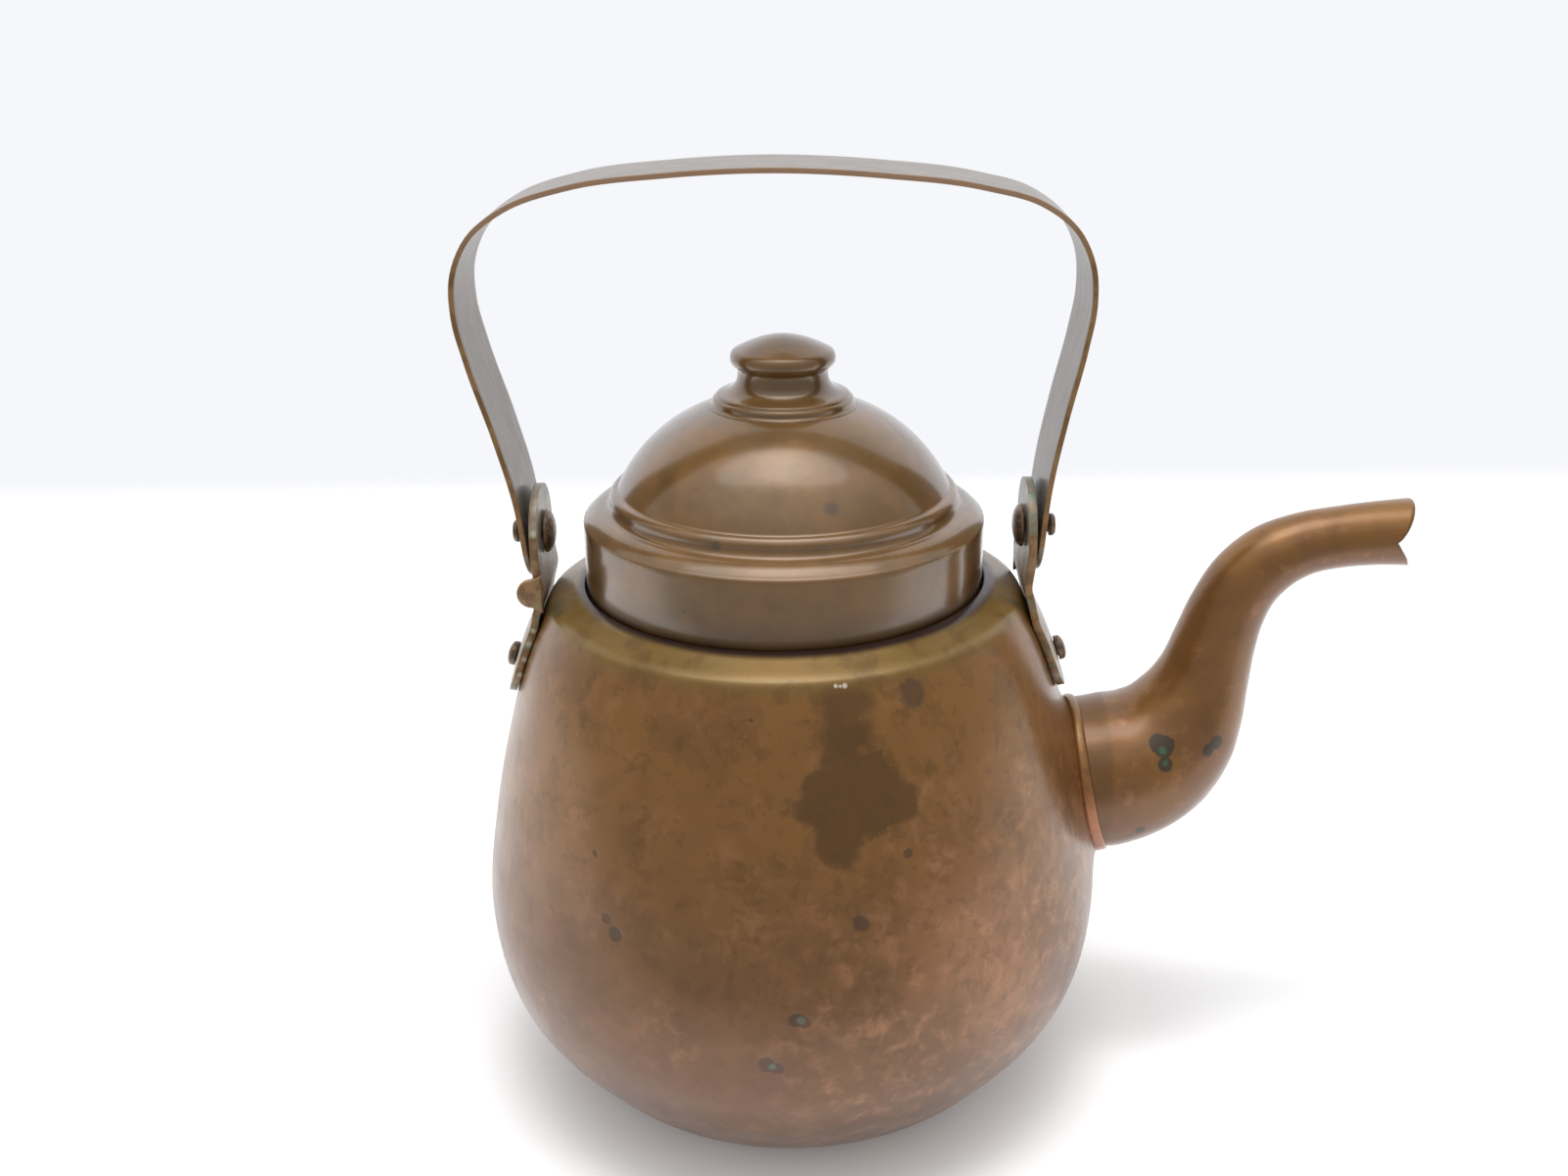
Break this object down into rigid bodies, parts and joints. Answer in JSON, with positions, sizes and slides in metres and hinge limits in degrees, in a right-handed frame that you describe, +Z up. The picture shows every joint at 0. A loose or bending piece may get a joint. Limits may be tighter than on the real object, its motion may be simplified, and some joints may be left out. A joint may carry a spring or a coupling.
{
  "type": "copper kettle",
  "caption": "Small covered copper kettle with a swan-neck spout, a lift-off lid with a turned knob, and a flat strap bail handle that swings on riveted ears.",
  "frame": {"origin": "middle of the flat base, on the surface that the kettle stands on", "axes": "+Z up along the axis of the turned body; +X along the spout; +Y away from the side that faces a person who holds the spout to their right"},
  "size_m": [0.1902, 0.1296, 0.1916],
  "materials": {
    "body_copper": "spun copper, warm brown patina with pinker mottling",
    "lid_copper": "spun copper, smooth olive-brown patina",
    "spout_copper": "drawn copper, smooth brown patina",
    "brazing_copper": "brazed joint, brighter copper",
    "strap_copper": "rolled copper strap, grey-brown satin",
    "ear_copper": "stamped copper, dark brown with verdigris in the corners",
    "rivet_copper": "dark oxidised copper",
    "tinned_copper": "hot-tinned copper, dull grey",
    "screw_brass": "turned brass, slightly tarnished"
  },
  "bodies": {
    "kettle": {"body_shell": "body_copper", "lid_seat_ring": "tinned_copper", "spout_tube": "spout_copper", "spout_collar": "brazing_copper", "left_ear": "ear_copper", "right_ear": "ear_copper", "left_ear_rivet": "rivet_copper", "right_ear_rivet": "rivet_copper", "left_ear_washer": "tinned_copper", "right_ear_washer": "tinned_copper"},
    "handle": {"handle_strap": "strap_copper", "left_pivot_rivet": "rivet_copper", "right_pivot_rivet": "rivet_copper"},
    "lid": {"lid_shell": "lid_copper", "lid_knob": "lid_copper", "knob_screw": "screw_brass", "knob_washer": "tinned_copper"}
  },
  "joints": [
    {"name": "handle_swing", "type": "hinge", "parent": "kettle", "child": "handle", "pos_m": [0, 0, 0.1193], "axis": [1, 0, 0], "range_deg": [-60, 60]},
    {"name": "lid_lift", "type": "slide", "parent": "kettle", "child": "lid", "axis": [0, 0, 1], "range_m": [0, 0.026]}
  ]
}
